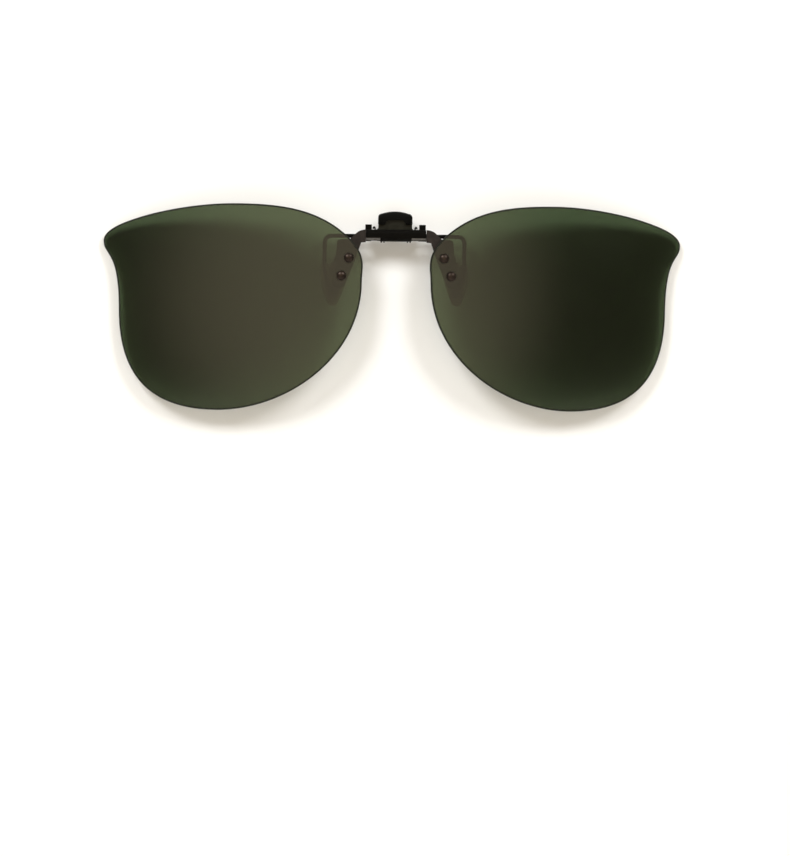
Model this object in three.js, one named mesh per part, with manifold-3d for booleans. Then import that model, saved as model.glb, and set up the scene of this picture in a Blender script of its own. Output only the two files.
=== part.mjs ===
// Clip-on flip-up sun lenses: a sprung two-jaw clamp that grips a pair of spectacles, and a pair of
// rimless tinted lenses that flip up on a shaft in front of it.
// Millimetres, +Z up, +X to the right as seen from the front, -Y towards the front, +Y to the wearer.
// The origin is the nip: the middle of the closed jaws, halfway up the rubber pads.
import * as THREE from 'three';
import { mergeVertices } from 'three/addons/utils/BufferGeometryUtils.js';
import Module from 'manifold-3d';

const wasm = await Module();
wasm.setup();

// ---- driving dimensions -------------------------------------------------------------------------
const LENS_RADIUS = 265; // front surface of a 2-base lens
const LENS_THICKNESS = 1.0;
const LENS_WRAP = THREE.MathUtils.degToRad(7); // how far each lens turns back towards the temple
const LENS_CENTRE = { x: 39.9, y: -3.97, z: -5.6 }; // front vertex
const LENS_REACH = 46; // from the vertex past the farthest point of the outline
const LENS_CURVE_SEGMENTS = 14;

const FLIP = { y: -2.45, z: 11.6 }; // axis that the lenses flip about
const FLIP_SHAFT_R = 0.5;
const FLIP_SHAFT_HALF = 8.25; // to the inside of its peened heads
const SHAFT_HEAD = { radius: 0.72, height: 0.3 };
const CAM_HALF = 2.6; // half length of the square detent cam
const CAM_SIDE = 0.8;

const CLAMP = { y: 0.9, z: 12.1 }; // axis that the rear jaw swings about
const WIRE_R = 0.5;
const RUN = 0.12; // radial clearance of what turns
const FIT = 0.1; // radial clearance of what is fixed

const BODY_HALF = 7.4; // half width of the jaw frame's middle
const CHEEK_WIDTH = 1.5;
const CURL = { half: 3.8, depth: 0.87 }; // curl under the flip shaft
const STAKE = { radius: 0.17, length: 0.5, z: 10.7, places: [2.9, 3.55] };
const SHEET = { front: -1.35, rear: -0.85 }; // jaw frame's flat sheet, in y
const BLADE = { front: -1.3, rear: -0.9 }; // thinned end of each leg, inside its pad
const HOOD = {
  front: -3.75, frontInner: -3.2, rearInner: -1.35,
  top: 13.65, topInner: 12.8, bottom: 11.6, rearBottom: 10.95,
};
const LUG = { front: -2.3, rear: -0.5, top: 14.9, chamfer: 0.15 };
const CLAMP_BOSS_R = 1.25;

const PAD_GAP = 0.2; // each pad's distance from the nip plane when the clamp is shut
const FRONT_PAD_THICKNESS = 1.8;
const REAR_PAD_THICKNESS = 2.0;
const PAD_ROUND = 0.4;
const BLADE_GAP = 0.15;

const HOOK_X = 17.3; // centre of the wire's downward run
const HOOK_Y = PAD_GAP + REAR_PAD_THICKNESS / 2;
const HOOK_BEND = 1.9;
const HOOK_STEPS = 80;

const LEVER_TILT = THREE.MathUtils.degToRad(8); // the thumb tab leans forward by this
const KNUCKLE_HALF = 4.3;
const KNUCKLE_R = 1.2;
const LEVER_SHEET = { front: -0.95, rear: -0.35, neckHalf: 4.55, shoulderHalf: 4.15, shoulder: 3.03 };
const TONGUE = { half: 2.75, top: 5.0 };
const CAP = { half: 4.2, front: -1.7, rear: 0.35, bottom: 3.05, shoulder: 5.6, crown: 6.3 };
const CAP_WINDOW = { bottomHalf: 2.5, topHalf: 1.8, corner: 3.4, top: 4.2 };

const SPRING_WIRE_R = 0.19;
const SPRING_COIL_R = 0.82;
const SPRING_PITCH = 0.44;
const SPRING_START = 4.5; // inner end of the coil
const SPRING_TURNS = 2.25;
// Standing end of the spring from its curled tip down to the coil.
const SPRING_END = [
  { x: 5.4, z: 13.85 }, { x: 5.33, z: 14.2 }, { x: 5.14, z: 14.33 }, { x: 4.97, z: 14.1 },
  { x: 4.92, z: 13.6 }, { x: 4.86, z: 13.0 },
];

const BRACKET = { front: -4.2, rear: -3.6, inner: 7.48, earWidth: 0.55, eyeR: 0.85 };
const RIVETS = [
  { name: 'upper', x: 11.7, z: 6.65 },
  { name: 'lower', x: 13.5, z: 2.3 },
];
const RIVET = { headR: 1.22, headHeight: 0.85, shankR: 0.6, tailR: 1.0, tailHeight: 0.4 };
const RIVET_HOLE_R = 0.75;
const WASHER_R = 1.4;
const SEAT_GAP = 0.08;

const SIDES = [
  { name: 'left', sign: -1 },
  { name: 'right', sign: 1 },
];

// ---- materials ------------------------------------------------------------------------------------
const finishes = {
  lens: { color: 0x3b4029, roughness: 0.08, metalness: 0, transparent: true, opacity: 0.8 },
  metal: { color: 0x1a1917, roughness: 0.35, metalness: 0.85 },
  steel: { color: 0x6b6863, roughness: 0.3, metalness: 1.0 },
  plastic: { color: 0x141412, roughness: 0.5, metalness: 0 },
  rubber: { color: 0x1d1b19, roughness: 0.75, metalness: 0 },
  nylon: { color: 0x8d8b80, roughness: 0.5, metalness: 0 },
};

const group = new THREE.Group();

function addPart(name, finish, geometry) {
  const mesh = new THREE.Mesh(geometry, new THREE.MeshStandardMaterial(finishes[finish]));
  mesh.name = name;
  group.add(mesh);
}

// ---- solids ---------------------------------------------------------------------------------------
function toSolid(geometry) {
  const bare = geometry.index ? geometry.toNonIndexed() : geometry.clone();
  bare.deleteAttribute('normal');
  bare.deleteAttribute('uv');
  const merged = mergeVertices(bare, 1e-5);
  const vertProperties = Float32Array.from(merged.attributes.position.array);
  const triVerts = Uint32Array.from(merged.index.array);
  return new wasm.Manifold(new wasm.Mesh({ numProp: 3, vertProperties, triVerts }));
}

function toGeometry(solid) {
  const mesh = solid.getMesh();
  const geometry = new THREE.BufferGeometry();
  geometry.setAttribute('position', new THREE.BufferAttribute(mesh.vertProperties, 3));
  geometry.setIndex(new THREE.BufferAttribute(mesh.triVerts, 1));
  return geometry;
}

// A shape drawn in x and z, as a plate from y = front to y = rear; round > 0 rounds its edges.
function plateXZ(shape, front, rear, round = 0, curveSegments = 8) {
  const options = { depth: rear - front - 2 * round, curveSegments, bevelEnabled: round > 0 };
  if (round > 0) {
    Object.assign(options, {
      bevelThickness: round, bevelSize: round, bevelOffset: -round, bevelSegments: 2,
    });
  }
  const geometry = new THREE.ExtrudeGeometry(shape, options);
  geometry.rotateX(Math.PI / 2);
  geometry.translate(0, rear - round, 0);
  return toSolid(geometry);
}

// A shape drawn in y and z, as a bar from x = start to x = end.
function barYZ(shape, start, end) {
  const geometry = new THREE.ExtrudeGeometry(shape, { depth: end - start, bevelEnabled: false });
  const turn = new THREE.Matrix4().makeBasis(
    new THREE.Vector3(0, 1, 0), new THREE.Vector3(0, 0, 1), new THREE.Vector3(1, 0, 0));
  geometry.applyMatrix4(turn);
  geometry.translate(start, 0, 0);
  return toSolid(geometry);
}

function polygon(points) {
  return new THREE.Shape(points.map(([a, b]) => new THREE.Vector2(a, b)));
}

// A round rod along X about the line at y and z.
function rodX(radius, start, end, axis, segments = 24) {
  const geometry = new THREE.CylinderGeometry(radius, radius, end - start, segments);
  geometry.rotateZ(Math.PI / 2);
  geometry.translate((start + end) / 2, axis.y, axis.z);
  return toSolid(geometry);
}

// A turned piece along Y: profile points are [radius, y], first and last on the axis.
function turnedY(profile, x, z, segments = 20) {
  const geometry = new THREE.LatheGeometry(profile.map(([r, y]) => new THREE.Vector2(r, y)), segments);
  geometry.translate(x, 0, z);
  return toSolid(geometry);
}

function block(x0, x1, y0, y1, z0, z1) {
  const geometry = new THREE.BoxGeometry(x1 - x0, y1 - y0, z1 - z0);
  geometry.translate((x0 + x1) / 2, (y0 + y1) / 2, (z0 + z1) / 2);
  return toSolid(geometry);
}

// A round bar along a curve.
function sweep(curve, radius, steps, sides) {
  const section = new THREE.Shape();
  for (let i = 0; i < sides; i++) {
    const angle = (2 * Math.PI * i) / sides;
    const draw = i === 0 ? 'moveTo' : 'lineTo';
    section[draw](radius * Math.cos(angle), radius * Math.sin(angle));
  }
  section.closePath();
  return toSolid(new THREE.ExtrudeGeometry(section, { steps, bevelEnabled: false, extrudePath: curve }));
}

function union(...solids) {
  return solids.reduce((joined, solid) => joined.add(solid));
}

// ---- lenses ---------------------------------------------------------------------------------------
// Cat-eye outline of one lens: a drawn-out upper temple corner with a hollow below it, a round
// bottom, and a rounder nose side. Drawn for the right lens; sign -1 mirrors it.
function lensOutline(sign) {
  const shape = new THREE.Shape();
  const curve = (ax, az, bx, bz, x, z) => shape.bezierCurveTo(sign * ax, az, sign * bx, bz, sign * x, z);
  shape.moveTo(sign * 39.5, 19.7);
  curve(47.2, 19.7, 56.6, 18.2, 63.3, 16.0); // brow edge
  curve(66.7, 14.9, 71.6, 13.1, 71.6, 10.4); // temple corner
  curve(71.6, 6.5, 67.8, 8.5, 67.8, -6.5); // hollow below the corner
  curve(67.8, -24.1, 58.8, -30.9, 43.9, -30.9); // temple side of the bottom
  curve(27, -30.9, 8.45, -18.0, 8.45, 0.7); // nose side of the bottom
  curve(8.45, 4.4, 6.7, 7.6, 13.1, 12.9); // nose edge
  curve(20.3, 18.8, 29.2, 19.7, 39.5, 19.7); // back to the top
  return shape;
}

function sag(radius, distance) {
  return radius - Math.sqrt(radius * radius - distance * distance);
}

// A dished disc of even thickness, vertex at the lens centre, turned back by the wrap angle.
function lensShell(sign) {
  const rings = 10;
  const front = [];
  const back = [];
  for (let i = 0; i <= rings; i++) {
    const r = (LENS_REACH * i) / rings;
    front.push([r, sag(LENS_RADIUS, r)]);
    back.unshift([r, LENS_THICKNESS + sag(LENS_RADIUS - LENS_THICKNESS, r)]);
  }
  const profile = [...front, ...back].map(([r, y]) => new THREE.Vector2(r, y));
  const geometry = new THREE.LatheGeometry(profile, 40);
  geometry.rotateZ(sign * LENS_WRAP);
  geometry.translate(sign * LENS_CENTRE.x, LENS_CENTRE.y, LENS_CENTRE.z);
  return toSolid(geometry);
}

// y of the lens's front surface above the point x, z on the right lens.
function lensFrontAt(x, z) {
  const dx = x - LENS_CENTRE.x;
  const dz = z - LENS_CENTRE.z;
  let dy = 0;
  for (let pass = 0; pass < 4; pass++) {
    const across = dx * Math.cos(LENS_WRAP) + dy * Math.sin(LENS_WRAP);
    const depth = sag(LENS_RADIUS, Math.hypot(across, dz));
    dy = (depth + dx * Math.sin(LENS_WRAP)) / Math.cos(LENS_WRAP);
  }
  return LENS_CENTRE.y + dy;
}

function rivetHole(sign, rivet) {
  const reach = 10;
  const profile = [[0, -reach], [RIVET_HOLE_R, -reach], [RIVET_HOLE_R, 0], [0, 0]];
  return turnedY(profile, sign * rivet.x, rivet.z);
}

function makeLens({ name, sign }) {
  const blank = plateXZ(lensOutline(sign), -20, 20, 0, LENS_CURVE_SEGMENTS);
  let lens = lensShell(sign).intersect(blank);
  for (const rivet of RIVETS) lens = lens.subtract(rivetHole(sign, rivet));
  addPart(`lens_${name}`, 'lens', toGeometry(lens));
}

// ---- lens brackets, rivets and washers ----------------------------------------------------------
// Flat strip behind the lens, under both rivets, with an ear folded back around the flip shaft.
function makeBracket({ name, sign }) {
  const shape = new THREE.Shape();
  const line = (x, z) => shape.lineTo(sign * x, z);
  const bend = (cx, cz, x, z) => shape.quadraticCurveTo(sign * cx, cz, sign * x, z);
  shape.moveTo(sign * BRACKET.inner, 13.6);
  bend(8.9, 13.5, 9.7, 12.8);
  line(11.35, 11.2);
  bend(12.4, 10.1, 12.9, 8.4);
  line(15.4, 2.2);
  bend(16.2, 0.1, 14.7, -0.55);
  bend(13.0, -1.2, 12.3, 0.5);
  line(10.1, 6.0);
  line(8.6, 10.4);
  line(BRACKET.inner, 10.5);
  shape.closePath();
  const strip = plateXZ(shape, BRACKET.front, BRACKET.rear);
  const inner = sign * BRACKET.inner;
  const outer = sign * (BRACKET.inner + BRACKET.earWidth);
  const earSpan = [Math.min(inner, outer), Math.max(inner, outer)];
  const web = barYZ(polygon([
    [BRACKET.front, FLIP.z - BRACKET.eyeR], [FLIP.y, FLIP.z - BRACKET.eyeR],
    [FLIP.y, FLIP.z + BRACKET.eyeR], [BRACKET.front, FLIP.z + BRACKET.eyeR + 0.55],
  ]), ...earSpan);
  const eye = rodX(BRACKET.eyeR, ...earSpan, FLIP);
  let bracket = union(strip, web, eye).subtract(rodX(FLIP_SHAFT_R + FIT, -10, 10, FLIP));
  for (const rivet of RIVETS) bracket = bracket.subtract(rivetHole(sign, rivet));
  addPart(`lens_bracket_${name}`, 'metal', toGeometry(bracket));
}

// Dome-headed rivet through lens, washer and bracket, flattened behind.
function makeRivet({ name, sign }, rivet) {
  const seat = lensFrontAt(rivet.x, rivet.z) - SEAT_GAP;
  const tailFront = BRACKET.rear + SEAT_GAP;
  const dome = [0, 0.25, 0.5, 0.75, 1].map((step) => {
    const angle = (step * Math.PI) / 2;
    return [RIVET.headR * Math.sin(angle), seat - RIVET.headHeight * Math.cos(angle)];
  });
  const profile = [
    ...dome,
    [RIVET.shankR, seat], [RIVET.shankR, tailFront],
    [RIVET.tailR, tailFront], [RIVET.tailR, tailFront + RIVET.tailHeight],
    [0, tailFront + RIVET.tailHeight],
  ];
  addPart(`rivet_${name}_${rivet.name}`, 'steel', toGeometry(turnedY(profile, sign * rivet.x, rivet.z)));
}

function makeWasher({ name, sign }, rivet) {
  const front = lensFrontAt(rivet.x, rivet.z) + LENS_THICKNESS + SEAT_GAP;
  const rear = BRACKET.front - SEAT_GAP / 2;
  const profile = [[0, front], [WASHER_R, front], [WASHER_R, rear], [0, rear]];
  const disc = turnedY(profile, sign * rivet.x, rivet.z);
  const washer = disc.subtract(rivetHole(sign, rivet));
  addPart(`washer_${name}_${rivet.name}`, 'nylon', toGeometry(washer));
}

// ---- flip shaft and its detent spring -------------------------------------------------------------
function makeFlipShaft() {
  const rod = rodX(FLIP_SHAFT_R, -FLIP_SHAFT_HALF, FLIP_SHAFT_HALF, FLIP);
  const half = CAM_SIDE / 2;
  const cam = block(-CAM_HALF, CAM_HALF, FLIP.y - half, FLIP.y + half, FLIP.z - half, FLIP.z + half);
  const heads = SIDES.map(({ sign }) => {
    const ends = [sign * (FLIP_SHAFT_HALF - 0.02), sign * (FLIP_SHAFT_HALF + SHAFT_HEAD.height)];
    return rodX(SHAFT_HEAD.radius, Math.min(...ends), Math.max(...ends), FLIP);
  });
  addPart('flip_shaft', 'steel', toGeometry(union(rod, cam, ...heads)));
}

// Bowed leaf that presses on the square cam and holds the lenses down or up.
function makeDetentSpring() {
  const end = 3.4;
  const endZ = 12.53;
  const bowZ = 11.92;
  const leaf = 0.2;
  const shape = new THREE.Shape();
  shape.moveTo(-end, endZ);
  shape.quadraticCurveTo(0, bowZ, end, endZ);
  shape.lineTo(end, endZ + leaf);
  shape.quadraticCurveTo(0, bowZ + leaf, -end, endZ + leaf);
  addPart('detent_spring', 'steel', toGeometry(plateXZ(shape, FLIP.y - 0.6, FLIP.y + 0.6)));
}

// ---- front jaw --------------------------------------------------------------------------------------
// Part of a leg that the rubber pad covers; grow widens it for the pad's pocket.
function bladeShape(sign, grow) {
  return polygon([
    [sign * (11.8 - grow), 6.4], [sign * (15.0 + grow), 6.4],
    [sign * (15.7 + grow), 0.0], [sign * (15.6 + grow), -3.0 - grow],
    [sign * (14.4 - grow), -3.0 - grow], [sign * (13.2 - grow), 0.0],
  ]);
}

function legShape(sign) {
  const shape = new THREE.Shape();
  const line = (x, z) => shape.lineTo(sign * x, z);
  const bend = (cx, cz, x, z) => shape.quadraticCurveTo(sign * cx, cz, sign * x, z);
  shape.moveTo(sign * 6.5, 11.85);
  line(11.0, 11.3);
  line(13.4, 11.25);
  bend(14.3, 11.25, 14.35, 10.4);
  line(14.6, 7.5);
  line(15.0, 6.4);
  line(15.0, 6.2);
  line(11.82, 6.2);
  line(11.4, 9.2);
  bend(11.35, 10.25, 10.3, 10.35);
  line(6.5, HOOD.rearBottom);
  shape.closePath();
  return shape;
}

// Folded hood over the flip shaft, from its front lip over the top and down the rear wall.
function hoodShape() {
  const shape = new THREE.Shape();
  const noseR = 1.0;
  const heelR = 0.7;
  shape.moveTo(HOOD.front, HOOD.bottom);
  shape.lineTo(HOOD.front, HOOD.top - noseR);
  shape.absarc(HOOD.front + noseR, HOOD.top - noseR, noseR, Math.PI, Math.PI / 2, true);
  shape.lineTo(SHEET.rear - heelR, HOOD.top);
  shape.absarc(SHEET.rear - heelR, HOOD.top - heelR, heelR, Math.PI / 2, 0, true);
  shape.lineTo(SHEET.rear, HOOD.rearBottom);
  shape.lineTo(HOOD.rearInner, HOOD.rearBottom);
  shape.lineTo(HOOD.rearInner, HOOD.topInner - 0.3);
  shape.lineTo(HOOD.rearInner - 0.3, HOOD.topInner);
  shape.lineTo(HOOD.frontInner + 0.3, HOOD.topInner);
  shape.lineTo(HOOD.frontInner, HOOD.topInner - 0.3);
  shape.lineTo(HOOD.frontInner, HOOD.bottom);
  shape.closePath();
  return shape;
}

// End cheek: closes the hood above the flip shaft, stands up as a square lug, and reaches back
// around the clamp axis.
function cheekShape() {
  const shape = new THREE.Shape();
  shape.moveTo(HOOD.frontInner - 0.1, HOOD.bottom);
  shape.lineTo(HOOD.frontInner - 0.1, HOOD.top - 0.2);
  shape.lineTo(LUG.front, HOOD.top - 0.2);
  shape.lineTo(LUG.front, LUG.top - LUG.chamfer);
  shape.lineTo(LUG.front + LUG.chamfer, LUG.top);
  shape.lineTo(LUG.rear - LUG.chamfer, LUG.top);
  shape.lineTo(LUG.rear, LUG.top - LUG.chamfer);
  shape.lineTo(LUG.rear + 0.1, LUG.top - 1.0);
  shape.lineTo(CLAMP.y - 0.5, CLAMP.z + CLAMP_BOSS_R);
  shape.absarc(CLAMP.y, CLAMP.z, CLAMP_BOSS_R, Math.PI * 0.6, -Math.PI / 2, true);
  shape.lineTo(SHEET.rear, HOOD.rearBottom);
  shape.lineTo(HOOD.rearInner, HOOD.rearBottom);
  shape.lineTo(HOOD.rearInner, HOOD.bottom);
  shape.closePath();
  return shape;
}

// Half-round curl that carries the flip shaft from below, between the hood's two walls.
function curlShape() {
  const shape = new THREE.Shape();
  const middle = (HOOD.front + SHEET.rear) / 2;
  const reach = (SHEET.rear - HOOD.front) / 2;
  shape.moveTo(HOOD.front, HOOD.bottom + 0.1);
  shape.lineTo(HOOD.front, HOOD.bottom);
  shape.absellipse(middle, HOOD.bottom, reach, CURL.depth, Math.PI, 2 * Math.PI, false);
  shape.lineTo(SHEET.rear, HOOD.bottom + 0.1);
  shape.closePath();
  return shape;
}

function makeJawFrame() {
  const hood = barYZ(hoodShape(), -BODY_HALF, BODY_HALF);
  const curl = barYZ(curlShape(), -CURL.half, CURL.half);
  const pieces = [hood, curl];
  for (const { sign } of SIDES) {
    const span = [sign * BODY_HALF, sign * (BODY_HALF - CHEEK_WIDTH)];
    pieces.push(barYZ(cheekShape(), Math.min(...span), Math.max(...span)));
    pieces.push(plateXZ(legShape(sign), SHEET.front, SHEET.rear));
    pieces.push(plateXZ(bladeShape(sign, 0), BLADE.front, BLADE.rear));
    for (const x of STAKE.places) { // staked ends of the curl
      const stake = new THREE.CylinderGeometry(STAKE.radius, STAKE.radius, STAKE.length, 10);
      stake.rotateX(Math.PI / 2);
      stake.translate(sign * x, FLIP.y, STAKE.z);
      pieces.push(toSolid(stake));
    }
  }
  const flipBore = rodX(FLIP_SHAFT_R + RUN, -BODY_HALF - 1, BODY_HALF + 1, FLIP);
  const clampBore = rodX(WIRE_R + RUN, -BODY_HALF - 1, BODY_HALF + 1, CLAMP);
  const frame = union(...pieces).subtract(flipBore).subtract(clampBore);
  addPart('jaw_frame', 'metal', toGeometry(frame));
}

function makeFrontPad({ name, sign }) {
  const shape = new THREE.Shape();
  const line = (x, z) => shape.lineTo(sign * x, z);
  const bend = (cx, cz, x, z) => shape.quadraticCurveTo(sign * cx, cz, sign * x, z);
  shape.moveTo(sign * 11.35, 5.9);
  line(15.5, 5.9);
  bend(16.6, 4.0, 16.9, 1.0);
  bend(17.1, -2.0, 16.5, -4.2);
  bend(16.2, -5.1, 15.4, -5.1);
  bend(14.6, -5.1, 14.1, -4.3);
  bend(12.9, -2.0, 12.3, 0.6);
  bend(11.6, 3.0, 11.35, 5.9);
  const rear = -PAD_GAP;
  const front = rear - FRONT_PAD_THICKNESS;
  const boot = plateXZ(shape, front, rear, PAD_ROUND);
  const pocket = plateXZ(bladeShape(sign, BLADE_GAP), SHEET.front - BLADE_GAP, SHEET.rear + BLADE_GAP);
  addPart(`front_pad_${name}`, 'rubber', toGeometry(boot.subtract(pocket)));
}

// ---- rear jaw ---------------------------------------------------------------------------------------
// Route of the wire for one side, from the middle out to the end of its hook; extra lengthens it.
function hookCorners(sign, extra) {
  const lowest = new THREE.Vector3(sign * 15.9, HOOK_Y, -2.4);
  const knee = new THREE.Vector3(sign * (HOOK_X + 0.05), HOOK_Y, 3.4);
  const away = lowest.clone().sub(knee).normalize();
  return [
    new THREE.Vector3(0, CLAMP.y, CLAMP.z),
    new THREE.Vector3(sign * HOOK_X, CLAMP.y, CLAMP.z),
    knee,
    lowest.addScaledVector(away, extra),
  ];
}

// Straight runs joined by bends that start and end at a set distance from each corner.
function hookRoute(extra) {
  const left = hookCorners(-1, extra).reverse();
  const right = hookCorners(1, extra);
  const corners = [...left.slice(0, -1), ...right.slice(1)];
  const route = new THREE.CurvePath();
  let from = corners[0];
  for (let i = 1; i < corners.length - 1; i++) {
    const corner = corners[i];
    const back = corners[i - 1].clone().sub(corner).normalize();
    const on = corners[i + 1].clone().sub(corner).normalize();
    const bendIn = corner.clone().addScaledVector(back, HOOK_BEND);
    const bendOut = corner.clone().addScaledVector(on, HOOK_BEND);
    route.add(new THREE.LineCurve3(from, bendIn));
    route.add(new THREE.QuadraticBezierCurve3(bendIn, corner, bendOut));
    from = bendOut;
  }
  route.add(new THREE.LineCurve3(from, corners[corners.length - 1]));
  return route;
}

function makeHookWire() {
  addPart('hook_wire', 'metal', toGeometry(sweep(hookRoute(0), WIRE_R, HOOK_STEPS, 8)));
}

function makeRearPad({ name, sign }) {
  const shape = new THREE.Shape();
  const line = (x, z) => shape.lineTo(sign * x, z);
  const bend = (cx, cz, x, z) => shape.quadraticCurveTo(sign * cx, cz, sign * x, z);
  shape.moveTo(sign * 17.5, 5.4);
  bend(18.2, 5.4, 18.2, 4.6);
  line(18.2, 1.2);
  bend(18.0, -1.6, 16.6, -4.3);
  bend(16.2, -5.1, 15.4, -5.1);
  bend(14.6, -5.1, 14.2, -4.3);
  bend(13.1, -1.6, 13.1, 1.0);
  bend(13.2, 3.0, 14.6, 4.0);
  bend(16.0, 5.2, 17.5, 5.4);
  const boot = plateXZ(shape, PAD_GAP, PAD_GAP + REAR_PAD_THICKNESS, PAD_ROUND);
  const pocket = sweep(hookRoute(BLADE_GAP), WIRE_R + BLADE_GAP, HOOK_STEPS, 8);
  addPart(`rear_pad_${name}`, 'rubber', toGeometry(boot.subtract(pocket)));
}

// Leans a piece drawn upright above the clamp axis (its y and z from that axis) by the lever's tilt.
function leaned(solid) {
  const geometry = toGeometry(solid);
  geometry.rotateX(LEVER_TILT);
  geometry.translate(0, CLAMP.y, CLAMP.z);
  return geometry;
}

// Knuckle around the wire, and the sheet that rolls out of it: a slightly flared neck, square
// shoulders under the thumb cap, and the tongue inside the cap.
function makeClampLever() {
  const shape = new THREE.Shape();
  const { neckHalf, shoulderHalf, shoulder } = LEVER_SHEET;
  const side = [
    [KNUCKLE_HALF, 0.2], [KNUCKLE_HALF, 1.1], [neckHalf, 1.3], [neckHalf, 1.7], [shoulderHalf, 2.1],
    [shoulderHalf, shoulder], [TONGUE.half, shoulder], [TONGUE.half, TONGUE.top - 0.5],
    [TONGUE.half - 0.15, TONGUE.top - 0.15], [TONGUE.half - 0.5, TONGUE.top],
  ];
  side.forEach(([x, z], i) => (i === 0 ? shape.moveTo(x, z) : shape.lineTo(x, z)));
  side.reverse().forEach(([x, z]) => shape.lineTo(-x, z));
  shape.closePath();
  const sheet = plateXZ(shape, LEVER_SHEET.front, LEVER_SHEET.rear);
  const axis = { y: 0, z: 0 };
  const knuckle = rodX(KNUCKLE_R, -KNUCKLE_HALF, KNUCKLE_HALF, axis);
  const bore = rodX(WIRE_R + FIT, -KNUCKLE_HALF - 1, KNUCKLE_HALF + 1, axis);
  addPart('clamp_lever', 'metal', leaned(union(sheet, knuckle).subtract(bore)));
}

// Moulded cap pressed over the tongue, with a window in its front that shows the tongue.
function makeThumbCap() {
  const shape = new THREE.Shape();
  shape.moveTo(-CAP.half, CAP.bottom);
  shape.lineTo(CAP.half, CAP.bottom);
  shape.lineTo(CAP.half, CAP.shoulder - 1.0);
  shape.quadraticCurveTo(CAP.half, CAP.shoulder - 0.1, CAP.half - 0.9, CAP.shoulder);
  shape.quadraticCurveTo(0, 2 * CAP.crown - CAP.shoulder - 0.3, -CAP.half + 0.9, CAP.shoulder);
  shape.quadraticCurveTo(-CAP.half, CAP.shoulder - 0.1, -CAP.half, CAP.shoulder - 1.0);
  shape.closePath();
  const shell = plateXZ(shape, CAP.front, CAP.rear, 0.3);
  const pocketHalf = TONGUE.half + BLADE_GAP;
  const pocketFront = LEVER_SHEET.front - BLADE_GAP;
  const pocketRear = LEVER_SHEET.rear + BLADE_GAP;
  const below = CAP.bottom - 1;
  const pocket = block(-pocketHalf, pocketHalf, pocketFront, pocketRear, below, TONGUE.top + BLADE_GAP);
  const { bottomHalf, topHalf, corner, top } = CAP_WINDOW;
  const windowShape = polygon([
    [-bottomHalf, below], [bottomHalf, below], [bottomHalf, corner],
    [topHalf, top], [-topHalf, top], [-bottomHalf, corner],
  ]);
  const window = plateXZ(windowShape, CAP.front - 1, LEVER_SHEET.front);
  addPart('thumb_cap', 'plastic', leaned(shell.subtract(pocket).subtract(window)));
}

// Coil around the wire between knuckle and cheek, with its inner end standing up behind the hood.
function makeClampSpring({ name, sign }) {
  const perTurn = 12;
  const start = { y: CLAMP.y - SPRING_COIL_R, angle: Math.PI };
  const points = SPRING_END.map(({ x, z }) => new THREE.Vector3(sign * x, start.y, z));
  for (let i = 0; i <= SPRING_TURNS * perTurn; i++) {
    const angle = start.angle + (2 * Math.PI * i) / perTurn;
    const x = SPRING_START + SPRING_WIRE_R + (SPRING_PITCH * i) / perTurn;
    points.push(new THREE.Vector3(
      sign * x, CLAMP.y + SPRING_COIL_R * Math.cos(angle), CLAMP.z + SPRING_COIL_R * Math.sin(angle)));
  }
  const coil = new THREE.CatmullRomCurve3(points);
  addPart(`clamp_spring_${name}`, 'steel', toGeometry(sweep(coil, SPRING_WIRE_R, 64, 6)));
}

// ---- assembly -----------------------------------------------------------------------------------
makeJawFrame();
makeDetentSpring();
makeHookWire();
makeClampLever();
makeThumbCap();
makeFlipShaft();
for (const side of SIDES) {
  makeFrontPad(side);
  makeRearPad(side);
  makeClampSpring(side);
  makeBracket(side);
  makeLens(side);
  for (const rivet of RIVETS) {
    makeRivet(side, rivet);
    makeWasher(side, rivet);
  }
}

export default group;
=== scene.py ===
"""Clip-on flip-up sun lenses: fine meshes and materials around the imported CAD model.

Metres, in the CAD frame: +Z up as worn, +X to the right seen from the front, -Y to the front.
Names ending in _left are at -X.
"""
import math

import bmesh
import bpy
from mathutils import Matrix, Vector


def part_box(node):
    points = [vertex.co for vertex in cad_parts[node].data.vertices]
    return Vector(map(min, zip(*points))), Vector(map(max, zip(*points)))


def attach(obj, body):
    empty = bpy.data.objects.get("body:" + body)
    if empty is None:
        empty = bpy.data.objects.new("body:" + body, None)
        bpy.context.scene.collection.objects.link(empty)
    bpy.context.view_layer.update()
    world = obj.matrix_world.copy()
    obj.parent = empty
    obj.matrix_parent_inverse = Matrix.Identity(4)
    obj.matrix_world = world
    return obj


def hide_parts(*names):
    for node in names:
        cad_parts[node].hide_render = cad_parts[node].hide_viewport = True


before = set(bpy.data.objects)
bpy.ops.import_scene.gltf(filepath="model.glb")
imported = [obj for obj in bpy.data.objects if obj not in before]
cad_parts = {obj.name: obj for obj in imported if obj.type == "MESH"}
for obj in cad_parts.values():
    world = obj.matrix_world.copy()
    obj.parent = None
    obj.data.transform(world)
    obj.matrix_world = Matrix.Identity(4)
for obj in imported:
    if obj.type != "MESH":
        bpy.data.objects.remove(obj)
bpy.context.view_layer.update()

MM = 0.001
SIDES = {"left": -1, "right": 1}
RIVET_ROWS = ("upper", "lower")

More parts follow.
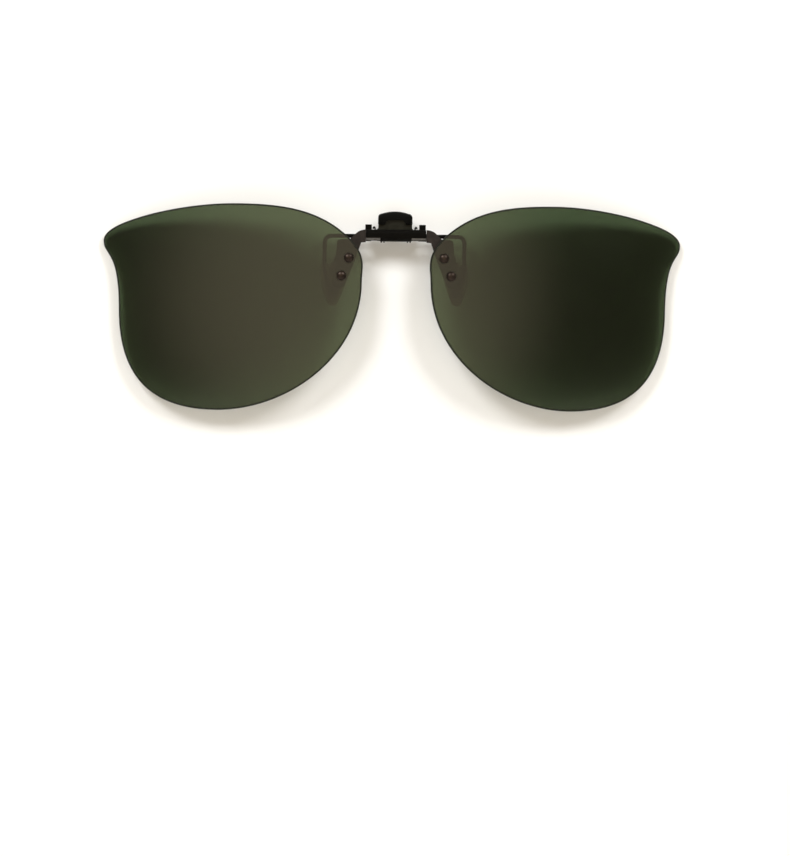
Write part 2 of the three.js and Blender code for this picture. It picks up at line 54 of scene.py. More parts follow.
# Design dimensions that part.mjs works from, in millimetres.
LENS_RADIUS = 265.0
LENS_THICKNESS = 1.0
LENS_WRAP = math.radians(7)
LENS_CENTRE = Vector((39.9, -3.97, -5.6))
LENS_START = (39.5, 19.7)
LENS_CURVES = (
    ((47.2, 19.7), (56.6, 18.2), (63.3, 16.0)),  # brow edge
    ((66.7, 14.9), (71.6, 13.1), (71.6, 10.4)),  # temple corner
    ((71.6, 6.5), (67.8, 8.5), (67.8, -6.5)),  # hollow below the corner
    ((67.8, -24.1), (58.8, -30.9), (43.9, -30.9)),  # temple side of the bottom
    ((27, -30.9), (8.45, -18.0), (8.45, 0.7)),  # nose side of the bottom
    ((8.45, 4.4), (6.7, 7.6), (13.1, 12.9)),  # nose edge
    ((20.3, 18.8), (29.2, 19.7), (39.5, 19.7)),  # back to the top
)
RIVET_HOLE_R = 0.75
RIVET_HEAD_HEIGHT = 0.85
RIVET_SHANK_R = 0.6
RIVET_TAIL_R = 1.0
RIVET_TAIL_HEIGHT = 0.4
CLAMP_AXIS = Vector((0.0, 0.9, 12.1))
WIRE_R = 0.5
HOOK_X = 17.3
HOOK_Y = 1.2
HOOK_KNEE = (17.35, 3.4)  # x, z where the wire turns inwards
HOOK_TIP = (15.9, -2.4)
HOOK_BEND = 1.9
SPRING_WIRE_R = 0.19
SPRING_COIL_R = 0.82
SPRING_PITCH = 0.44
SPRING_START = 4.5  # inner end of the coil
SPRING_TURNS = 2.25

# Small shapes that only the fine meshes have, in millimetres.
LENS_CHAMFER = 0.12
PAINTED_DARK_RIM = 0.42  # width of the painted shade: a dark line painted on the lens faces inside the rim
WASHER_EASE = 0.06
WELD = 0.0002
SPRING_END = (  # x, z from the curled tip down to the coil, with more points than the CAD's
    (5.4, 13.85), (5.39, 14.0), (5.35, 14.15), (5.26, 14.28), (5.14, 14.33), (5.04, 14.27),
    (4.98, 14.12), (4.95, 13.9), (4.93, 13.6), (4.9, 13.3), (4.86, 13.0), (4.78, 12.55),
)


# ---- mesh helpers -------------------------------------------------------------------------------

def link(name, data):
    piece = bpy.data.objects.new(name, data)
    bpy.context.scene.collection.objects.link(piece)
    return piece


def smooth_by_angle(mesh, degrees):
    """Smooth faces, with the edges sharper than the angle kept crisp."""
    work = bmesh.new()
    work.from_mesh(mesh)
    limit = math.radians(degrees)
    for edge in work.edges:
        edge.smooth = len(edge.link_faces) == 2 and edge.calc_face_angle(0) < limit
    for face in work.faces:
        face.smooth = True
    work.to_mesh(mesh)
    work.free()


def mesh_piece(name, vertices, faces, degrees=40):
    """A mesh from vertices in millimetres."""
    mesh = bpy.data.meshes.new(name)
    mesh.from_pydata([Vector(v) * MM for v in vertices], [], faces)
    work = bmesh.new()
    work.from_mesh(mesh)
    bmesh.ops.recalc_face_normals(work, faces=work.faces)
    work.to_mesh(mesh)
    work.free()
    smooth_by_angle(mesh, degrees)
    return link(name, mesh)


def apply_modifiers(piece):
    depsgraph = bpy.context.evaluated_depsgraph_get()
    baked = bpy.data.meshes.new_from_object(piece.evaluated_get(depsgraph))
    piece.modifiers.clear()
    piece.data = baked


def cut(piece, cutter):
    """Takes the cutter's shape out of the piece and removes the cutter."""
    modifier = piece.modifiers.new("cut", "BOOLEAN")
    modifier.operation = "DIFFERENCE"
    modifier.solver = "EXACT"
    modifier.object = cutter
    apply_modifiers(piece)
    bpy.data.objects.remove(cutter)


def revolved(name, profile, x, z, segments=48):
    """A turned piece along Y at x, z: profile points are (radius, y); both ends lie on the axis."""
    vertices = [(x, profile[0][1], z)]
    for radius, y in profile[1:-1]:
        for i in range(segments):
            angle = 2 * math.pi * i / segments
            vertices.append((x + radius * math.cos(angle), y, z + radius * math.sin(angle)))
    vertices.append((x, profile[-1][1], z))
    last = len(vertices) - 1
    rings = len(profile) - 2
    faces = []
    for i in range(segments):
        j = (i + 1) % segments
        faces.append((0, 1 + j, 1 + i))
        for ring in range(rings - 1):
            a = 1 + ring * segments
            b = a + segments
            faces.append((a + i, a + j, b + j, b + i))
        base = 1 + (rings - 1) * segments
        faces.append((last, base + i, base + j))
    return mesh_piece(name, vertices, faces)


def drill_rivet_hole(piece, x, z):
    front, rear = -12, 2
    profile = [(0, front), (RIVET_HOLE_R, front), (RIVET_HOLE_R, rear), (0, rear)]
    cut(piece, revolved("drill", profile, x, z, 32))


def round_bar(name, points, radius, resolution):
    """A round wire along points in millimetres, with rounded-off ends."""
    curve = bpy.data.curves.new(name, "CURVE")
    curve.dimensions = "3D"
    curve.bevel_depth = radius * MM
    curve.bevel_resolution = resolution
    curve.use_fill_caps = True
    spline = curve.splines.new("POLY")
    spline.points.add(len(points) - 1)
    for slot, point in zip(spline.points, points):
        slot.co = (*(Vector(point) * MM), 1)
    spline.points[0].radius = spline.points[-1].radius = 0.8
    spline.use_smooth = True
    return link(name, curve)


def finer_copy(node, bevel):
    """The CAD node's shape with its flat faces joined up and its edges rounded."""
    crease = 35
    piece = link(node + "_fine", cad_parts[node].data.copy())
    work = bmesh.new()
    work.from_mesh(piece.data)
    bmesh.ops.remove_doubles(work, verts=work.verts, dist=WELD * MM)
    bmesh.ops.dissolve_limit(
        work, angle_limit=math.radians(1), verts=work.verts, edges=work.edges
    )
    work.to_mesh(piece.data)
    work.free()
    smooth_by_angle(piece.data, crease)
    rounding = piece.modifiers.new("rounded_edges", "BEVEL")
    rounding.width = bevel * MM
    rounding.segments = 2
    rounding.limit_method = "ANGLE"
    rounding.angle_limit = math.radians(crease)
    rounding.harden_normals = True
    rounding.use_clamp_overlap = True
    apply_modifiers(piece)
    return piece


def settle(piece, body, slot, material, *nodes):
    """Gives the piece its material and body, in place of the CAD nodes."""
    piece.data.materials.clear()
    piece.data.materials.append(material)
    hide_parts(*nodes)
    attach(piece, body)


# ---- material helpers ---------------------------------------------------------------------------

RANGE_INPUTS = ("From Min", "From Max", "To Min", "To Max")  # of a Map Range node


class Shader:
    """One node tree, with short calls to add nodes and links."""

    def __init__(self, name):
        self.material = bpy.data.materials.new(name)
        self.material.use_nodes = True
        self.tree = self.material.node_tree
        self.tree.nodes.clear()
        self.output = self.add("ShaderNodeOutputMaterial")
        self.place = self.add("ShaderNodeTexCoord").outputs["Object"]

    def add(self, kind, **inputs):
        node = self.tree.nodes.new(kind)
        for key, value in inputs.items():
            self.set(node.inputs[key.replace("_", " ")], value)
        return node

    def set(self, socket, value):
        if isinstance(value, bpy.types.NodeSocket):
            self.tree.links.new(value, socket)
        else:
            socket.default_value = value

    def noise(self, scale, detail=3.0):
        node = self.add("ShaderNodeTexNoise", Vector=self.place, Scale=scale)
        node.inputs["Detail"].default_value = detail
        node.inputs["Roughness"].default_value = 0.55
        return node.outputs["Fac"]

    def remap(self, value, low, high, to_low, to_high):
        node = self.add("ShaderNodeMapRange", Value=value)
        for key, number in zip(RANGE_INPUTS, (low, high, to_low, to_high)):
            node.inputs[key].default_value = number
        return node.outputs["Result"]

    def maths(self, operation, a, b=0.0):
        node = self.add("ShaderNodeMath")
        node.operation = operation
        self.set(node.inputs[0], a)
        self.set(node.inputs[1], b)
        return node.outputs[0]

    def mix_colour(self, factor, a, b):
        node = self.tree.nodes.new("ShaderNodeMix")
        node.data_type = "RGBA"
        self.set(node.inputs["Factor"], factor)
        self.set(node.inputs["A"], a)
        self.set(node.inputs["B"], b)
        return next(o for o in node.outputs if o.type == "RGBA")

    def edge_mask(self, radius, low, high):
        """1 on outer edges, 0 on flat faces: how far the rounded normal turns from the true one."""
        rounded = self.add("ShaderNodeBevel", Radius=radius * MM)
        rounded.samples = 4
        true = self.add("ShaderNodeNewGeometry").outputs["Normal"]
        dot = self.tree.nodes.new("ShaderNodeVectorMath")
        dot.operation = "DOT_PRODUCT"
        self.set(dot.inputs[0], rounded.outputs["Normal"])
        self.set(dot.inputs[1], true)
        return self.remap(dot.outputs["Value"], high, low, 0.0, 1.0)

    def bump(self, height, strength, distance):
        node = self.add("ShaderNodeBump", Height=height, Strength=strength)
        node.inputs["Distance"].default_value = distance * MM
        return node.outputs["Normal"]

    def surface(self, shader):
        self.tree.links.new(shader, self.output.inputs["Surface"])
        return self.material


def colour(r, g, b):
    return (r, g, b, 1.0)


# ---- materials ----------------------------------------------------------------------------------

def plated_metal(name, base, edge_colour, roughness, edge_strength, metallic, specular):
    """Plated sheet or wire: satin plating with fine grain; along its edges, in patches, it turns to
    the edge colour: lighter where the plating is rubbed, darker where the edge colour is the darker
    one, as on the lens brackets.
    """
    s = Shader(name)
    cloud = s.noise(900.0)
    grain = s.noise(9000.0, 2.0)
    edge_patches = s.remap(cloud, 0.42, 0.62, 0.15, edge_strength)
    edge = s.maths("MULTIPLY", s.edge_mask(0.12, 0.80, 0.97), edge_patches)
    lighter = [c * 1.5 for c in base]
    tone = s.mix_colour(s.remap(cloud, 0.35, 0.7, 0.0, 1.0), colour(*base), colour(*lighter))
    shader = s.add(
        "ShaderNodeBsdfPrincipled",
        Base_Color=s.mix_colour(edge, tone, colour(*edge_colour)),
        Metallic=metallic,
        Roughness=s.remap(grain, 0.3, 0.7, roughness - 0.06, roughness + 0.08),
        Normal=s.bump(grain, 0.25, 0.01),
    )
    shader.inputs["Specular IOR Level"].default_value = specular
    return s.surface(shader.outputs[0])


def moulded_plastic(name, base, roughness):
    """Moulded plastic with a fine spark-eroded grain, polished a little on its edges."""
    s = Shader(name)
    grain = s.noise(7000.0, 4.0)
    cloud = s.noise(500.0)
    patches = s.remap(cloud, 0.35, 0.7, 0.0, 1.0)
    lighter = [c * 1.4 for c in base]
    matte = s.remap(cloud, 0.3, 0.7, roughness, roughness + 0.1)
    polish = s.maths("MULTIPLY", s.edge_mask(0.2, 0.85, 0.98), 0.15)
    shader = s.add(
        "ShaderNodeBsdfPrincipled",
        Base_Color=s.mix_colour(patches, colour(*base), colour(*lighter)),
        Roughness=s.maths("SUBTRACT", matte, polish),
        Normal=s.bump(grain, 0.3, 0.02),
    )
    shader.inputs["Specular IOR Level"].default_value = 0.07
    return s.surface(shader.outputs[0])


def soft_rubber():
    """Smoky see-through rubber: matte, faintly mottled, with a soft sheen at a glancing angle."""
    s = Shader("pad_rubber")
    mottle = s.noise(1600.0, 5.0)
    pores = s.noise(11000.0, 2.0)
    tone = s.remap(mottle, 0.35, 0.7, 0.0, 1.0)
    shader = s.add(
        "ShaderNodeBsdfPrincipled",
        Base_Color=s.mix_colour(tone, colour(0.12, 0.085, 0.07), colour(0.17, 0.125, 0.105)),
        Roughness=s.remap(mottle, 0.3, 0.7, 0.5, 0.7),
        Normal=s.bump(s.maths("ADD", mottle, pores), 0.3, 0.02),
    )
    shader.inputs["Sheen Weight"].default_value = 0.2
    shader.inputs["Sheen Roughness"].default_value = 0.5
    passed = s.add("ShaderNodeBsdfTransparent", Color=colour(0.96, 0.9, 0.87))
    mix = s.add("ShaderNodeMixShader")
    s.set(mix.inputs[0], s.remap(mottle, 0.3, 0.7, 0.2, 0.28))
    s.set(mix.inputs[1], passed.outputs[0])
    s.set(mix.inputs[2], shader.outputs[0])
    return s.surface(mix.outputs[0])


def smoky_nylon():
    s = Shader("smoky_nylon")
    cloud = s.noise(1500.0)
    shader = s.add(
        "ShaderNodeBsdfPrincipled",
        Base_Color=s.mix_colour(cloud, colour(0.16, 0.15, 0.12), colour(0.26, 0.25, 0.2)),
        Roughness=s.remap(cloud, 0.3, 0.7, 0.35, 0.5),
    )
    shader.inputs["Subsurface Weight"].default_value = 0.2
    shader.inputs["Subsurface Scale"].default_value = 0.3 * MM
    return s.surface(shader.outputs[0])


def tinted_lens():
    """See-through tint: what passes is dyed, and each face reflects by Fresnel's law."""
    s = Shader("lens_tint")
    cloud = s.noise(60.0, 2.0)
    dye = s.mix_colour(cloud, colour(0.239, 0.294, 0.203), colour(0.249, 0.304, 0.21))
    passed = s.add("ShaderNodeBsdfTransparent", Color=dye)
    wave = s.noise(25.0, 1.0)
    gloss = s.add(
        "ShaderNodeBsdfGlossy",
        Color=colour(0.95, 0.95, 0.93),
        Roughness=s.remap(cloud, 0.3, 0.7, 0.12, 0.16),
        Normal=s.bump(wave, 0.05, 0.2),
    )
    fresnel = s.add("ShaderNodeFresnel", IOR=1.5)
    mix = s.add("ShaderNodeMixShader")
    s.set(mix.inputs[0], fresnel.outputs[0])
    s.set(mix.inputs[1], passed.outputs[0])
    s.set(mix.inputs[2], gloss.outputs[0])
    return s.surface(mix.outputs[0])


def painted_rim_material():
    """Painted shade for the lens rim: near-black on the ground rim and on a band of both faces just
    inside it, a dark line painted in for the darkness that light caught in the dyed sheet shows
    there.
    """
    s = Shader("dark_rim_painted_shade")
    cloud = s.noise(1200.0)
    shader = s.add(
        "ShaderNodeBsdfPrincipled",
        Base_Color=s.mix_colour(cloud, colour(0.006, 0.007, 0.004), colour(0.012, 0.013, 0.008)),
        Roughness=s.remap(cloud, 0.3, 0.7, 0.4, 0.55),
    )
    shader.inputs["Specular IOR Level"].default_value = 0.15
    return s.surface(shader.outputs[0])


# ---- lenses -------------------------------------------------------------------------------------

def bezier(p0, p1, p2, p3, t):
    u = 1 - t
    shares = (u**3, 3 * u * u * t, 3 * u * t * t, t**3)
    return tuple(sum(s * v for s, v in zip(shares, values)) for values in zip(p0, p1, p2, p3))


def lens_outline():
    per_curve = 32
    points = []
    start = LENS_START
    for first, second, end in LENS_CURVES:
        points += [bezier(start, first, second, end, i / per_curve) for i in range(per_curve)]
        start = end
    return points


def inset(points, distance):
    """The closed outline moved inwards; it runs clockwise seen from the front."""
    moved = []
    for i, (x, z) in enumerate(points):
        ax, az = points[i - 1]
        bx, bz = points[(i + 1) % len(points)]
        along = Vector((bx - ax, bz - az)).normalized()
        moved.append((x + along.y * distance, z - along.x * distance))
    return moved


def lens_depth(x, z, radius):
    """y of the sphere of that radius about the lens's centre of curvature."""
    cx = LENS_CENTRE.x - LENS_RADIUS * math.sin(LENS_WRAP)
    cy = LENS_CENTRE.y + LENS_RADIUS * math.cos(LENS_WRAP)
    return cy - math.sqrt(radius**2 - (x - cx) ** 2 - (z - LENS_CENTRE.z) ** 2)


def make_lens(side, tint, edge):
    sign = SIDES[side]
    outline = lens_outline()
    count = len(outline)
    face_edge = inset(outline, PAINTED_DARK_RIM)
    back_radius = LENS_RADIUS - LENS_THICKNESS
    heart = (LENS_CENTRE.x, -3.0)  # x, z that the rings of faces close in on
    face_rings = 22
    steps = [i / face_rings for i in range(1, face_rings + 1)]
    vertices = []

    def ring(points, radius, depth=0.0):
        vertices.extend((sign * x, lens_depth(x, z, radius) + depth, z) for x, z in points)

    def shrunk(share):
        return [
            (heart[0] + (x - heart[0]) * share, heart[1] + (z - heart[1]) * share)
            for x, z in face_edge
        ]

    vertices.append((sign * heart[0], lens_depth(*heart, LENS_RADIUS), heart[1]))
    for share in steps:
        ring(shrunk(share), LENS_RADIUS)
    ring(inset(outline, LENS_CHAMFER), LENS_RADIUS)
    ring(outline, LENS_RADIUS, LENS_CHAMFER)
    ring(outline, back_radius, -LENS_CHAMFER)
    ring(inset(outline, LENS_CHAMFER), back_radius)
    for share in reversed(steps):
        ring(shrunk(share), back_radius)
    vertices.append((sign * heart[0], lens_depth(*heart, back_radius), heart[1]))
    rings = 2 * len(steps) + 4
    faces = []
    for i in range(count):
        j = (i + 1) % count
        faces.append((0, 1 + i, 1 + j))
        for r in range(rings - 1):
            a = 1 + r * count
            b = a + count
            faces.append((a + i, b + i, b + j, a + j))
        base = 1 + (rings - 1) * count
        faces.append((len(vertices) - 1, base + j, base + i))
    lens = mesh_piece("lens_" + side, vertices, faces, 60)
    # edge is the near-black material of the painted rim shade
    for material in (tint, edge):
        lens.data.materials.append(material)
    # The rings at the rim, with the band of the faces inside it, get the near-black material: a
    # painted dark line, painted shade.
    painted_shade_rings = range(len(steps) - 1, len(steps) + 3)
    for face in lens.data.polygons:
        first_ring = (min(face.vertices) - 1) // count
        face.material_index = 1 if first_ring in painted_shade_rings else 0
    for row in RIVET_ROWS:
        low, high = (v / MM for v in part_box(f"washer_{side}_{row}"))
        drill_rivet_hole(lens, (low.x + high.x) / 2, (low.z + high.z) / 2)
    for face in lens.data.polygons:  # the walls of the rivet holes get the same painted dark rim shade
        if abs(face.normal.y) < 0.5:
            face.material_index = 1
    smooth_by_angle(lens.data, 32)
    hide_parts("lens_" + side)
    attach(lens, "lens_frame")


# ---- rivets and washers -------------------------------------------------------------------------

def make_rivet(side, row, material):
    node = f"rivet_{side}_{row}"
    low, high = (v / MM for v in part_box(node))
    x, z = (low.x + high.x) / 2, (low.z + high.z) / 2
    head_r = (high.x - low.x) / 2
    seat = low.y + RIVET_HEAD_HEIGHT
    tail = high.y - RIVET_TAIL_HEIGHT
    brim = 0.1  # straight edge below the dome
    dome = RIVET_HEAD_HEIGHT - brim
    dome_steps = 12
    profile = [(0, low.y)]
    for i in range(1, dome_steps + 1):
        angle = math.pi / 2 * i / dome_steps
        profile.append((head_r * math.sin(angle), seat - brim - dome * math.cos(angle)))
    profile += [
        (head_r * 0.97, seat), (RIVET_SHANK_R, seat), (RIVET_SHANK_R, tail),
        (RIVET_TAIL_R * 0.95, tail), (RIVET_TAIL_R, tail + 0.1), (RIVET_TAIL_R * 0.97, tail + 0.28),
        (RIVET_TAIL_R * 0.8, high.y), (0, high.y),
    ]
    settle(revolved(node + "_turned", profile, x, z), "lens_frame", "gunmetal", material, node)


def make_washer(side, row, material):
    node = f"washer_{side}_{row}"
    low, high = (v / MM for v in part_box(node))
    x, z = (low.x + high.x) / 2, (low.z + high.z) / 2
    radius = (high.x - low.x) / 2
    eased = radius - WASHER_EASE
    profile = [
        (0, low.y), (eased, low.y), (radius, low.y + WASHER_EASE),
        (radius, high.y - WASHER_EASE), (eased, high.y), (0, high.y),
    ]
    washer = revolved(node + "_turned", profile, x, z)
    drill_rivet_hole(washer, x, z)
    smooth_by_angle(washer.data, 40)
    settle(washer, "lens_frame", "washer_nylon", material, node)


# ---- clamp wire and springs ---------------------------------------------------------------------

def hook_route():
    """Points along the whole wire: two hooks joined by the straight run through the cheeks."""
    right = [
        Vector((HOOK_X, CLAMP_AXIS.y, CLAMP_AXIS.z)),
        Vector((HOOK_KNEE[0], HOOK_Y, HOOK_KNEE[1])),
        Vector((HOOK_TIP[0], HOOK_Y, HOOK_TIP[1])),
    ]
    left = [Vector((-p.x, p.y, p.z)) for p in reversed(right)]
    corners = left + right
    bend_steps = 12
    points = [corners[0]]
    for before, corner, after in zip(corners, corners[1:], corners[2:]):
        bend_in = corner + (before - corner).normalized() * HOOK_BEND
        bend_out = corner + (after - corner).normalized() * HOOK_BEND
        for i in range(bend_steps + 1):
            t = i / bend_steps
            points.append(bend_in.lerp(corner, t).lerp(corner.lerp(bend_out, t), t))
    points.append(corners[-1])
    return points


def spring_route(sign):
    per_turn = 28
    points = [Vector((sign * x, CLAMP_AXIS.y - SPRING_COIL_R, z)) for x, z in SPRING_END]
    for i in range(int(SPRING_TURNS * per_turn) + 1):
        angle = math.pi + 2 * math.pi * i / per_turn
        x = SPRING_START + SPRING_WIRE_R + SPRING_PITCH * i / per_turn
        y = CLAMP_AXIS.y + SPRING_COIL_R * math.cos(angle)
        z = CLAMP_AXIS.z + SPRING_COIL_R * math.sin(angle)
        points.append(Vector((sign * x, y, z)))
    return points


# ---- rubber pads --------------------------------------------------------------------------------

def quadratic_outline(start, pieces):
    """Closed outline from (end,) lines and (control, end) bends."""
    per_curve = 10
    points = []
    here = start
    for piece in pieces:
        end = piece[-1]
        control = piece[0] if len(piece) == 2 else tuple((a + b) / 2 for a, b in zip(here, end))
        for i in range(per_curve):
            t = i / per_curve
            points.append(tuple(
                (1 - t) ** 2 * a + 2 * t * (1 - t) * c + t * t * b
                for a, c, b in zip(here, control, end)
            ))
        here = end
    return points


FRONT_PAD = quadratic_outline((11.35, 5.9), [
    ((15.5, 5.9),),
    ((16.6, 4.0), (16.9, 1.0)),
    ((17.1, -2.0), (16.5, -4.2)),
    ((16.2, -5.1), (15.4, -5.1)),
    ((14.6, -5.1), (14.1, -4.3)),
    ((12.9, -2.0), (12.3, 0.6)),
    ((11.6, 3.0), (11.35, 5.9)),
])
REAR_PAD = quadratic_outline((17.5, 5.4), [
    ((18.2, 5.4), (18.2, 4.6)),
    ((18.2, 1.2),),
    ((18.0, -1.6), (16.6, -4.3)),
    ((16.2, -5.1), (15.4, -5.1)),
    ((14.6, -5.1), (14.2, -4.3)),
    ((13.1, -1.6), (13.1, 1.0)),
    ((13.2, 3.0), (14.6, 4.0)),
    ((16.0, 5.2), (17.5, 5.4)),
])
BLADE_POCKET = [
    (11.65, 7.0), (15.15, 7.0), (15.85, 0.0), (15.75, -3.15), (14.25, -3.15), (13.05, 0.0),
]
POCKET_FRONT, POCKET_REAR = -1.5, -0.7
PAD_CROWN = [  # share of the outline's size, share of the half thickness
    (0.0, 1.0), (0.35, 0.985), (0.6, 0.95), (0.74, 0.88), (0.84, 0.76), (0.92, 0.58), (0.975, 0.32),
    (1.0, 0.0),
]


def pad_body(name, outline, sign, front, rear):
    """Dipped boot: both faces slightly crowned, the edge a full soft round."""
    middle = (front + rear) / 2
    half = (rear - front) / 2
    heart = tuple(sum(p[i] for p in outline) / len(outline) for i in (0, 1))
    count = len(outline)
    vertices = [(sign * heart[0], middle - half, heart[1])]
    rings = PAD_CROWN[1:] + PAD_CROWN[-2:0:-1]
    for index, (share, lift) in enumerate(rings):
        direction = -1 if index < len(PAD_CROWN) - 1 else 1
        for x, z in outline:
            vertices.append((
                sign * (heart[0] + (x - heart[0]) * share),
                middle + direction * half * lift,
                heart[1] + (z - heart[1]) * share,
            ))
    vertices.append((sign * heart[0], middle + half, heart[1]))
    faces = []
    for i in range(count):
        j = (i + 1) % count
        faces.append((0, 1 + i, 1 + j))
        for r in range(len(rings) - 1):
            a = 1 + r * count
            b = a + count
            faces.append((a + i, b + i, b + j, a + j))
        base = 1 + (len(rings) - 1) * count
        faces.append((len(vertices) - 1, base + j, base + i))
    return mesh_piece(name, vertices, faces, 75)


def prism(name, outline, sign, front, rear):
    count = len(outline)
    vertices = [(sign * x, y, z) for y in (front, rear) for x, z in outline]
    faces = [tuple(range(count)), tuple(range(2 * count - 1, count - 1, -1))]
    faces += [(i, (i + 1) % count, count + (i + 1) % count, count + i) for i in range(count)]
    return mesh_piece(name, vertices, faces)


def make_pads(side, material):
    sign = SIDES[side]
    low, high = (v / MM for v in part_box("front_pad_" + side))
    front_pad = pad_body(f"front_pad_{side}_dipped", FRONT_PAD, sign, low.y, high.y)
    cut(front_pad, prism("blade_pocket", BLADE_POCKET, sign, POCKET_FRONT, POCKET_REAR))
    smooth_by_angle(front_pad.data, 50)
    settle(front_pad, "front_jaw", "pad_rubber", material, "front_pad_" + side)
    low, high = (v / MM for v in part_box("rear_pad_" + side))
    rear_pad = pad_body(f"rear_pad_{side}_dipped", REAR_PAD, sign, low.y, high.y)
    settle(rear_pad, "rear_jaw", "pad_rubber", material, "rear_pad_" + side)


# ---- everything on the frame --------------------------------------------------------------------

def make_object():
    black = plated_metal(
        "black_plating", (0.0018, 0.0015, 0.001), (0.012, 0.01, 0.008),
        roughness=0.5, edge_strength=0.5, metallic=0.0, specular=0.04,
    )
    lever_black = plated_metal(
        "lever_plating", (0.018, 0.0175, 0.0125), (0.04, 0.037, 0.03),
        roughness=0.45, edge_strength=0.5, metallic=0.2, specular=0.1,
    )
    # The brackets' edge colour is darker than their plating: their edges are darkened, not rubbed
    # brighter.
    bracket_black = plated_metal(
        "bracket_plating", (0.018, 0.0145, 0.0125), (0.003, 0.0026, 0.002),
        roughness=0.5, edge_strength=1.0, metallic=0.2, specular=0.1,
    )
    shaft_steel = plated_metal(
        "shaft_steel", (0.1, 0.095, 0.088), (0.16, 0.152, 0.14),
        roughness=0.45, edge_strength=1.0, metallic=0.5, specular=0.5,
    )
    spring_steel = plated_metal(
        "spring_steel", (0.004, 0.004, 0.003), (0.05, 0.048, 0.045),
        roughness=0.4, edge_strength=0.5, metallic=0.5, specular=0.2,
    )
    gunmetal = plated_metal(
        "rivet_gunmetal", (0.028, 0.0205, 0.0165), (0.038, 0.028, 0.023),
        roughness=0.34, edge_strength=0.3, metallic=1.0, specular=0.5,
    )
    plastic = moulded_plastic("thumb_plastic", (0.0012, 0.0011, 0.0006), 0.5)
    rubber = soft_rubber()
    nylon = smoky_nylon()
    # edge: the near-black material of the painted shade along the lens rims
    tint, edge = tinted_lens(), painted_rim_material()

    settle(finer_copy("jaw_frame", 0.05), "front_jaw", "black_metal", black, "jaw_frame")
    leaf = finer_copy("detent_spring", 0.03)
    settle(leaf, "front_jaw", "spring_steel", spring_steel, "detent_spring")
    settle(finer_copy("clamp_lever", 0.07), "rear_jaw", "black_metal", lever_black, "clamp_lever")
    settle(finer_copy("thumb_cap", 0.16), "rear_jaw", "thumb_plastic", plastic, "thumb_cap")
    settle(finer_copy("flip_shaft", 0.08), "lens_frame", "shaft_steel", shaft_steel, "flip_shaft")
    wire = round_bar("hook_wire_bent", hook_route(), WIRE_R, 6)
    settle(wire, "rear_jaw", "black_metal", black, "hook_wire")
    for side, sign in SIDES.items():
        make_lens(side, tint, edge)
        make_pads(side, rubber)
        bracket = "lens_bracket_" + side
        settle(finer_copy(bracket, 0.04), "lens_frame", "black_metal", bracket_black, bracket)
        spring = "clamp_spring_" + side
        coil = round_bar(spring + "_coil", spring_route(sign), SPRING_WIRE_R, 4)
        settle(coil, "front_jaw", "spring_steel", spring_steel, spring)
        for row in RIVET_ROWS:
            make_rivet(side, row, gunmetal)
            make_washer(side, row, nylon)


# ---- stage --------------------------------------------------------------------------------------

BACKDROP_Y = 4.4
FLOOR_Z = -260.0
KEY_SIZE = 260
KEY_TONE = (0.965, 0.985, 1.0)
CARD_DIRECTION = Vector((-0.04, -1.0, 0.03))
CARD_TONE = (1.0, 0.84, 0.6)
CARD_STRENGTH = 1.5
AROUND_CARD_STRENGTH = 0.2
CARD_EDGE, CARD_FULL = 27, 3  # degrees from straight ahead
DOME_TONE = (1.0, 0.97, 0.92)
DOME_STRENGTH = 0.5
DOME_FULL, DOME_EDGE = 60, 46  # the same


def pale_stage():
    """A pale sweep: a wall close behind the object that curves into a floor. One-sided, so that the
    object can be seen from behind."""
    reach, top, sweep_r, steps = 900.0, 700.0, 120.0, 16
    bend = FLOOR_Z + sweep_r
    profile = [(BACKDROP_Y, top), (BACKDROP_Y, bend)]
    for i in range(1, steps + 1):
        angle = math.pi / 2 * i / steps
        y = BACKDROP_Y - sweep_r * (1 - math.cos(angle))
        profile.append((y, FLOOR_Z + sweep_r * (1 - math.sin(angle))))
    profile.append((-reach, FLOOR_Z))
    vertices = [(x, y, z) for y, z in profile for x in (-reach, reach)]
    faces = [(2 * i, 2 * i + 1, 2 * i + 3, 2 * i + 2) for i in range(len(profile) - 1)]
    mesh = bpy.data.meshes.new("sweep")
    mesh.from_pydata([Vector(v) * MM for v in vertices], [], faces)
    sweep = link("sweep", mesh)
    smooth_by_angle(mesh, 60)
    if mesh.polygons[0].normal.y > 0:
        mesh.flip_normals()
    s = Shader("pale_sweep")
    cloud = s.noise(12.0)
    paint = s.add(
        "ShaderNodeBsdfDiffuse",
        Color=s.mix_colour(cloud, colour(0.86, 0.855, 0.845), colour(0.88, 0.875, 0.865)),
    )
    clear = s.add("ShaderNodeBsdfTransparent")
    mix = s.add("ShaderNodeMixShader")
    s.set(mix.inputs[0], s.add("ShaderNodeNewGeometry").outputs["Backfacing"])
    s.set(mix.inputs[1], paint.outputs[0])
    s.set(mix.inputs[2], clear.outputs[0])
    mesh.materials.append(s.surface(mix.outputs[0]))


def key_light(name, place, power):
    """A round soft light aimed at the nip of the clamp."""
    data = bpy.data.lights.new(name, "AREA")
    data.shape = "DISK"
    data.size = KEY_SIZE * MM
    data.energy = power
    data.color = KEY_TONE
    lamp = link(name, data)
    lamp.location = Vector(place) * MM
    lamp.rotation_euler = (-Vector(place)).to_track_quat("-Z", "Y").to_euler()


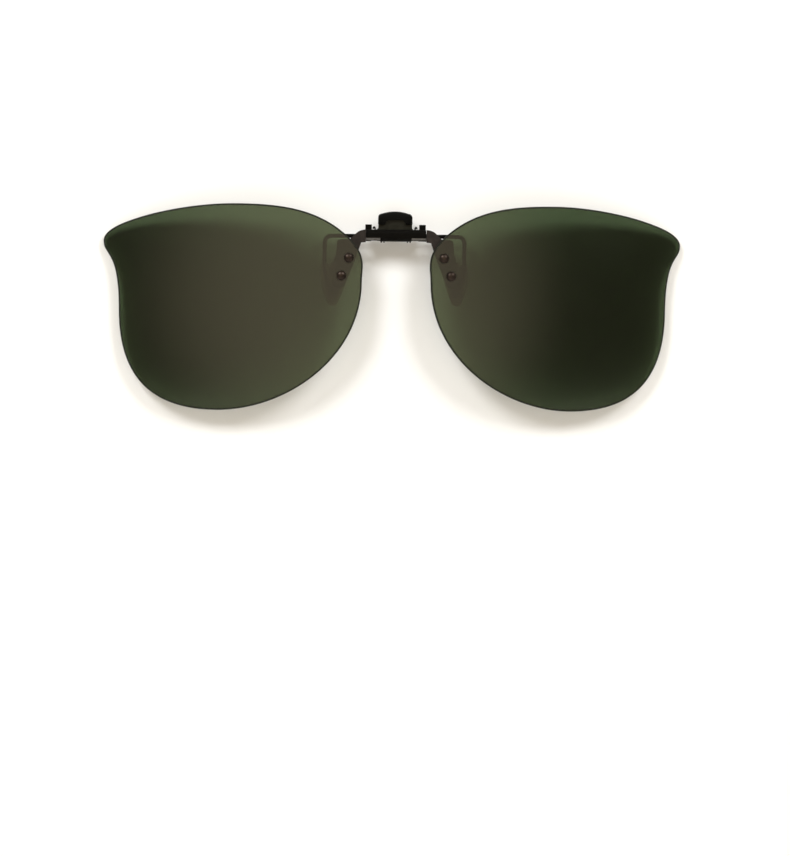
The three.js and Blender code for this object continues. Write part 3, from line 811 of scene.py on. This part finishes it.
def soft_world():
    """White where it is seen. As a light it is a warm card straight ahead of the lenses, dimmer
    around the card, with a soft dome that starts further out."""
    world = bpy.data.worlds.new("soft_world")
    bpy.context.scene.world = world
    world.use_nodes = True
    tree = world.node_tree
    tree.nodes.clear()
    direction = tree.nodes.new("ShaderNodeTexCoord").outputs["Generated"]
    ahead = tree.nodes.new("ShaderNodeVectorMath")
    ahead.operation = "DOT_PRODUCT"
    tree.links.new(direction, ahead.inputs[0])
    ahead.inputs[1].default_value = CARD_DIRECTION.normalized()

    def band(tone, wide, narrow, outside, inside):
        """Light whose strength turns from outside to inside between two angles from ahead."""
        ramp = tree.nodes.new("ShaderNodeMapRange")
        ramp.interpolation_type = "SMOOTHSTEP"
        tree.links.new(ahead.outputs["Value"], ramp.inputs["Value"])
        wide_cos, narrow_cos = math.cos(math.radians(wide)), math.cos(math.radians(narrow))
        numbers = (wide_cos, narrow_cos, outside, inside)
        for key, number in zip(RANGE_INPUTS, numbers):
            ramp.inputs[key].default_value = number
        light = tree.nodes.new("ShaderNodeBackground")
        light.inputs["Color"].default_value = colour(*tone)
        tree.links.new(ramp.outputs["Result"], light.inputs["Strength"])
        return light.outputs[0]

    both = tree.nodes.new("ShaderNodeAddShader")
    card = band(CARD_TONE, CARD_EDGE, CARD_FULL, AROUND_CARD_STRENGTH, CARD_STRENGTH)
    dome = band(DOME_TONE, DOME_FULL, DOME_EDGE, DOME_STRENGTH, 0.0)
    tree.links.new(card, both.inputs[0])
    tree.links.new(dome, both.inputs[1])
    seen = tree.nodes.new("ShaderNodeBackground")
    seen.inputs["Color"].default_value = colour(1.0, 1.0, 1.0)
    path = tree.nodes.new("ShaderNodeLightPath")
    mix = tree.nodes.new("ShaderNodeMixShader")
    output = tree.nodes.new("ShaderNodeOutputWorld")
    tree.links.new(path.outputs["Is Camera Ray"], mix.inputs[0])
    tree.links.new(both.outputs[0], mix.inputs[1])
    tree.links.new(seen.outputs[0], mix.inputs[2])
    tree.links.new(mix.outputs[0], output.inputs["Surface"])


# ---- camera -------------------------------------------------------------------------------------

SENSOR = 36.0
FOCAL = 100.0
VIEW_HEIGHT = 211.86  # height of the view at the object
NIP_ABOVE_CENTRE = 35.3  # how far the nip of the clamp lies above the middle of the view
YAW = math.radians(-4)
ROLL = math.radians(0.5)
AIM_X = 0.4


def make_camera():
    data = bpy.data.cameras.new("camera")
    data.sensor_width = SENSOR
    data.lens = FOCAL
    camera = link("camera", data)
    distance = VIEW_HEIGHT * FOCAL / SENSOR
    place = Vector((distance * math.sin(YAW), -distance * math.cos(YAW), 0))
    aim = Vector((AIM_X, 0, -NIP_ABOVE_CENTRE))
    camera.location = place * MM
    look = (aim - place).to_track_quat("-Z", "Y")
    camera.rotation_euler = (look.to_matrix() @ Matrix.Rotation(ROLL, 3, "Z")).to_euler()
    data.clip_start, data.clip_end = 0.01, 10.0
    bpy.context.scene.camera = camera


make_camera()
make_object()
pale_stage()
soft_world()
key_light("key_left", (-310, -510, 390), 2.95)
key_light("key_right", (310, -510, 390), 2.4)
bpy.context.scene.view_settings.view_transform = "Standard"
